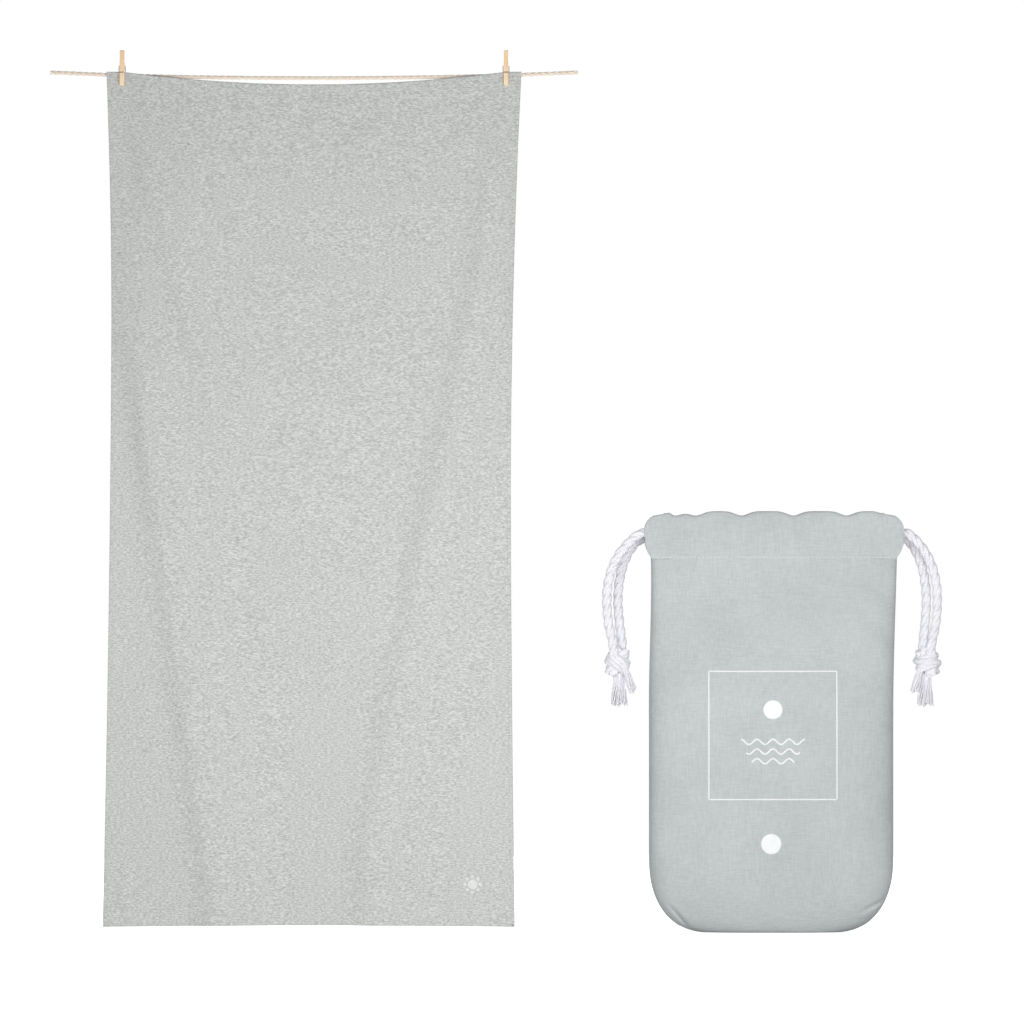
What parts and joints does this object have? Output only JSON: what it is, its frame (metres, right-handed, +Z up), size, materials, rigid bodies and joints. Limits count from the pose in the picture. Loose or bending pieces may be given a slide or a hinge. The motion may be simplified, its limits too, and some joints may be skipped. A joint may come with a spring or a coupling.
{
  "type": "quick dry towel",
  "caption": "quick dry travel towel hung on a line by wooden spring pegs, with a drawstring pouch that it packs into",
  "frame": {"origin": "the middle of the line, on its centreline", "axes": "+X along the line to the right, seen from the front; the towel's front faces -Y; +Z up"},
  "size_m": [0.8335, 0.072, 0.8243],
  "materials": {
    "twine": "rough natural fibre",
    "heather_cloth": "matt heather weave",
    "white_thread": "embroidery thread",
    "birch": "sanded, unvarnished",
    "spring_steel": "dull wire",
    "pouch_cloth": "fine plain weave",
    "cotton_cord": "soft twisted cotton"
  },
  "bodies": {
    "line": {"clothes_line": "twine"},
    "towel": {"towel_panel": "heather_cloth", "towel_top_hem": "heather_cloth", "towel_bottom_hem": "heather_cloth", "towel_left_hem": "heather_cloth", "towel_right_hem": "heather_cloth", "towel_corner_emblem": "white_thread"},
    "left_peg_front": {"left_peg_front_leg": "birch", "left_peg_front_arm": "spring_steel"},
    "left_peg_back": {"left_peg_back_leg": "birch", "left_peg_back_arm": "spring_steel", "left_peg_spring_coil": "spring_steel"},
    "right_peg_front": {"right_peg_front_leg": "birch", "right_peg_front_arm": "spring_steel"},
    "right_peg_back": {"right_peg_back_leg": "birch", "right_peg_back_arm": "spring_steel", "right_peg_spring_coil": "spring_steel"},
    "pouch": {"pouch_front_panel": "pouch_cloth", "pouch_back_panel": "pouch_cloth", "pouch_left_seam": "pouch_cloth", "pouch_right_seam": "pouch_cloth", "pouch_base": "pouch_cloth", "pouch_front_casing": "pouch_cloth", "pouch_back_casing": "pouch_cloth"},
    "left_drawcord": {"left_drawcord_front_strand": "cotton_cord", "left_drawcord_back_strand": "cotton_cord", "left_drawcord_knot": "cotton_cord", "left_drawcord_long_tail": "cotton_cord", "left_drawcord_short_tail": "cotton_cord"},
    "right_drawcord": {"right_drawcord_front_strand": "cotton_cord", "right_drawcord_back_strand": "cotton_cord", "right_drawcord_knot": "cotton_cord", "right_drawcord_long_tail": "cotton_cord", "right_drawcord_short_tail": "cotton_cord"}
  },
  "joints": [
    {"name": "towel_swing", "type": "hinge", "parent": "line", "child": "towel", "pos_m": [0, 0, 0.0025], "axis": [1, 0, 0], "range_deg": [-30, 30]},
    {"name": "left_peg_squeeze", "type": "hinge", "parent": "towel", "child": "left_peg_front", "pos_m": [-0.1795, -0.003, 0.0107], "axis": [-1, 0, 0], "range_deg": [0, 13], "stiffness_Nm_per_rad": 0.03, "springref_deg": -45.84},
    {"name": "left_peg_back_turn", "type": "hinge", "parent": "towel", "child": "left_peg_back", "pos_m": [-0.1795, -0.003, 0.0107], "axis": [1, 0, 0], "range_deg": [0, 13]},
    {"name": "right_peg_squeeze", "type": "hinge", "parent": "towel", "child": "right_peg_front", "pos_m": [0.1795, -0.003, 0.0107], "axis": [-1, 0, 0], "range_deg": [0, 13], "stiffness_Nm_per_rad": 0.03, "springref_deg": -45.84},
    {"name": "right_peg_back_turn", "type": "hinge", "parent": "towel", "child": "right_peg_back", "pos_m": [0.1795, -0.003, 0.0107], "axis": [1, 0, 0], "range_deg": [0, 13]},
    {"name": "pouch_lift", "type": "slide", "parent": "line", "child": "pouch", "axis": [0, 0, 1], "range_m": [0, 0.25]},
    {"name": "left_drawcord_pull", "type": "slide", "parent": "pouch", "child": "left_drawcord", "axis": [-1, 0, 0], "range_m": [0, 0.05]},
    {"name": "right_drawcord_pull", "type": "slide", "parent": "pouch", "child": "right_drawcord", "axis": [1, 0, 0], "range_m": [0, 0.05]}
  ],
  "couplings": [
    {"joint": "left_peg_back_turn", "follows": "left_peg_squeeze", "ratio": 1},
    {"joint": "right_peg_back_turn", "follows": "right_peg_squeeze", "ratio": 1}
  ]
}
